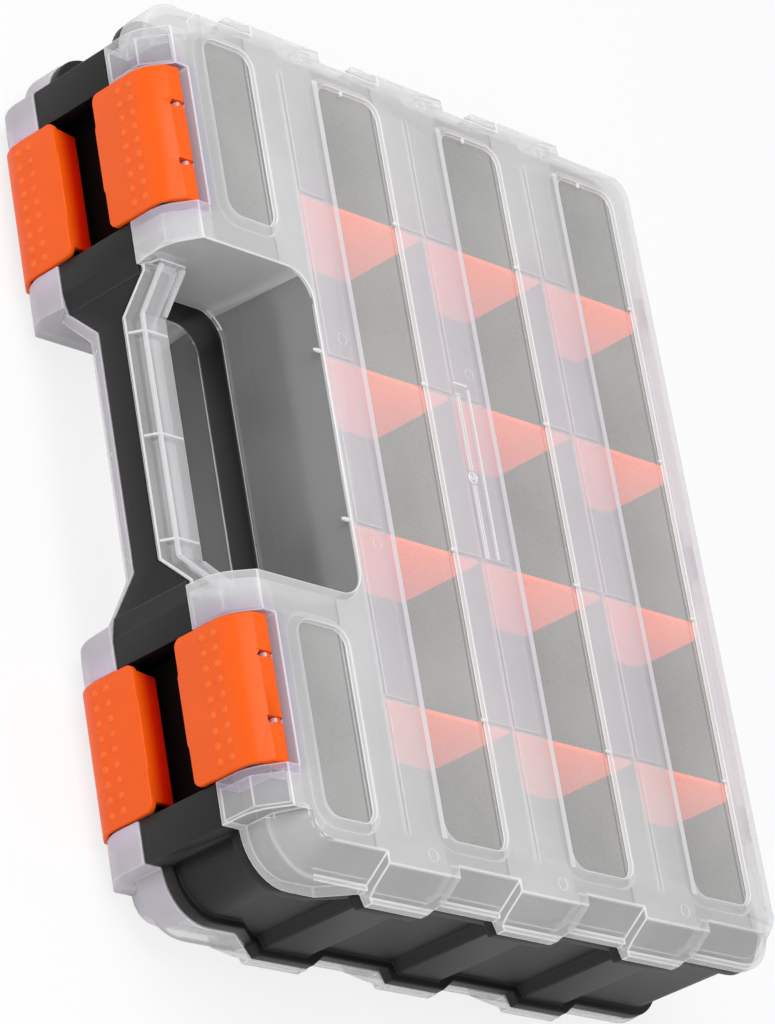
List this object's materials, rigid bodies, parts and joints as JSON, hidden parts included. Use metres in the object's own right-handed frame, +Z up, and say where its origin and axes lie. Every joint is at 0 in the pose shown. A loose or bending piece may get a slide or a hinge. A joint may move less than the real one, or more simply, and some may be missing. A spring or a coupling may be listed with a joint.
{
  "type": "double-sided storage box",
  "caption": "Flat double-sided compartment case with a hinged frosted lid on each face, snap latches, lift-out dividers and a carrying handle in the front edge.",
  "frame": {"origin": "centre of the box's footprint, on the outer face of the lower lid that it lies on", "axes": "+X along the length, +Y from the handle edge to the hinge edge, +Z up through both lids"},
  "size_m": [0.32, 0.261, 0.08],
  "materials": {
    "tray_plastic": "satin charcoal moulding",
    "lid_plastic": "frosted translucent moulding with clearer windows",
    "orange_plastic": "satin orange moulding",
    "pin_steel": "bright drawn wire"
  },
  "bodies": {
    "tray": {"tray": "tray_plastic", "column_walls": "tray_plastic", "compartment_floors": "tray_plastic", "upper_divider_front_1": "orange_plastic", "upper_divider_front_2": "orange_plastic", "upper_divider_front_3": "orange_plastic", "upper_divider_front_4": "orange_plastic", "upper_divider_middle_1": "orange_plastic", "upper_divider_middle_2": "orange_plastic", "upper_divider_middle_3": "orange_plastic", "upper_divider_middle_4": "orange_plastic", "upper_divider_rear_1": "orange_plastic", "upper_divider_rear_2": "orange_plastic", "upper_divider_rear_3": "orange_plastic", "upper_divider_rear_4": "orange_plastic", "lower_divider_front_1": "orange_plastic", "lower_divider_front_2": "orange_plastic", "lower_divider_front_3": "orange_plastic", "lower_divider_front_4": "orange_plastic", "lower_divider_middle_1": "orange_plastic", "lower_divider_middle_2": "orange_plastic", "lower_divider_middle_3": "orange_plastic", "lower_divider_middle_4": "orange_plastic", "lower_divider_rear_1": "orange_plastic", "lower_divider_rear_2": "orange_plastic", "lower_divider_rear_3": "orange_plastic", "lower_divider_rear_4": "orange_plastic", "upper_hinge_pins": "pin_steel", "lower_hinge_pins": "pin_steel"},
    "upper_lid": {"upper_lid": "lid_plastic"},
    "lower_lid": {"lower_lid": "lid_plastic"},
    "latch_upper_left": {"latch_upper_left": "orange_plastic"},
    "latch_upper_right": {"latch_upper_right": "orange_plastic"},
    "latch_lower_left": {"latch_lower_left": "orange_plastic"},
    "latch_lower_right": {"latch_lower_right": "orange_plastic"}
  },
  "joints": [
    {"name": "upper_lid_hinge", "type": "hinge", "parent": "tray", "child": "upper_lid", "pos_m": [0, 0.1265, 0.065], "axis": [-1, 0, 0], "range_deg": [0, 120]},
    {"name": "latch_upper_left_hinge", "type": "hinge", "parent": "upper_lid", "child": "latch_upper_left", "pos_m": [-0.098, -0.1189, 0.076], "axis": [-1, 0, 0], "range_deg": [0, 105]},
    {"name": "latch_upper_right_hinge", "type": "hinge", "parent": "upper_lid", "child": "latch_upper_right", "pos_m": [0.098, -0.1189, 0.076], "axis": [-1, 0, 0], "range_deg": [0, 105]},
    {"name": "lower_lid_hinge", "type": "hinge", "parent": "tray", "child": "lower_lid", "pos_m": [0, 0.1265, 0.015], "axis": [1, 0, 0], "range_deg": [0, 120]},
    {"name": "latch_lower_left_hinge", "type": "hinge", "parent": "lower_lid", "child": "latch_lower_left", "pos_m": [-0.098, -0.1189, 0.004], "axis": [1, 0, 0], "range_deg": [0, 105]},
    {"name": "latch_lower_right_hinge", "type": "hinge", "parent": "lower_lid", "child": "latch_lower_right", "pos_m": [0.098, -0.1189, 0.004], "axis": [1, 0, 0], "range_deg": [0, 105]}
  ]
}
